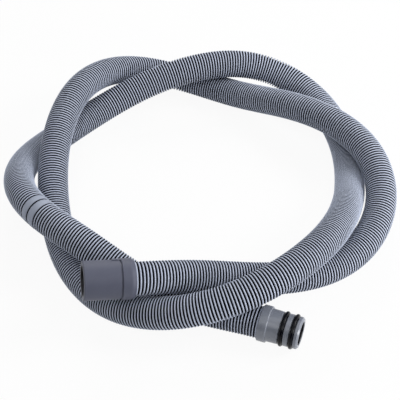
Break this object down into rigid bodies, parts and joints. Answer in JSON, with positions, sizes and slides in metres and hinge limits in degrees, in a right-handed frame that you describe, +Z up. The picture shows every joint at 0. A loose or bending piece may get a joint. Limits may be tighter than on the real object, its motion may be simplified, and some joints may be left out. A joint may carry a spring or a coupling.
{
  "type": "dishwasher drain hose",
  "caption": "Corrugated drain hose lying in loose turns, with a rubber push-on cuff on one end and a plug-in connector with sealing rings on the other.",
  "frame": {"origin": "on the surface the hose lies on, under the middle of its outline", "axes": "+Z up from that surface; +Y from the side where both ends lie towards the far side of the turns; +X to the right when looking along +Y"},
  "size_m": [0.307, 0.3169, 0.0649],
  "materials": {
    "hose_plastic": "moulded light grey polypropylene, satin",
    "cuff_rubber": "moulded dark grey rubber, matt",
    "connector_plastic": "moulded grey plastic, satin",
    "ring_rubber": "black rubber with a film of grease"
  },
  "bodies": {
    "root": {"corrugated_hose": "hose_plastic", "drain_cuff": "cuff_rubber", "hose_connector": "connector_plastic", "o_ring_inner": "ring_rubber", "o_ring_tip": "ring_rubber"}
  },
  "joints": []
}
